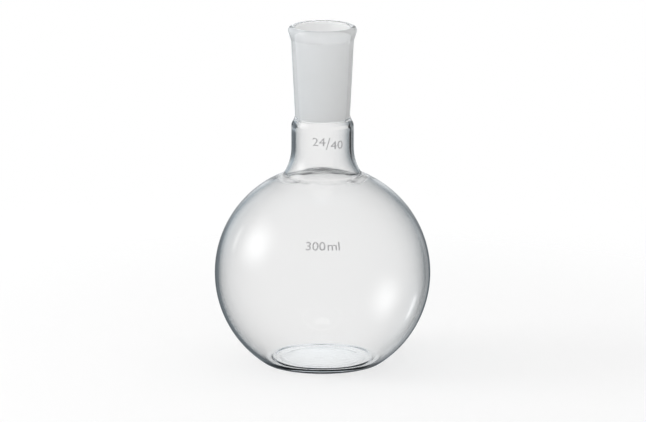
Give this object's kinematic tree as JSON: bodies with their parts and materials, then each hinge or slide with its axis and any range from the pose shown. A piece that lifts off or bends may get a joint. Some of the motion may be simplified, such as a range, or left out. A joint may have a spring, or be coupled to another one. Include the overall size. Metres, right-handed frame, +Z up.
{
  "type": "flat bottom flask",
  "caption": "Round-bodied glass flask with a flat bottom, a short neck and a tapered ground socket, for heating, holding and joining to other glassware.",
  "frame": {"origin": "middle of the underside, on the surface that the flask stands on", "axes": "+Z up along the neck's axis, towards the mouth; the form is turned about Z, and +X and +Y are at right angles to it"},
  "size_m": [0.093, 0.093, 0.1477],
  "materials": {
    "glass": "clear and smooth, ground white inside the socket"
  },
  "bodies": {
    "root": {"flask": "glass"}
  },
  "joints": []
}
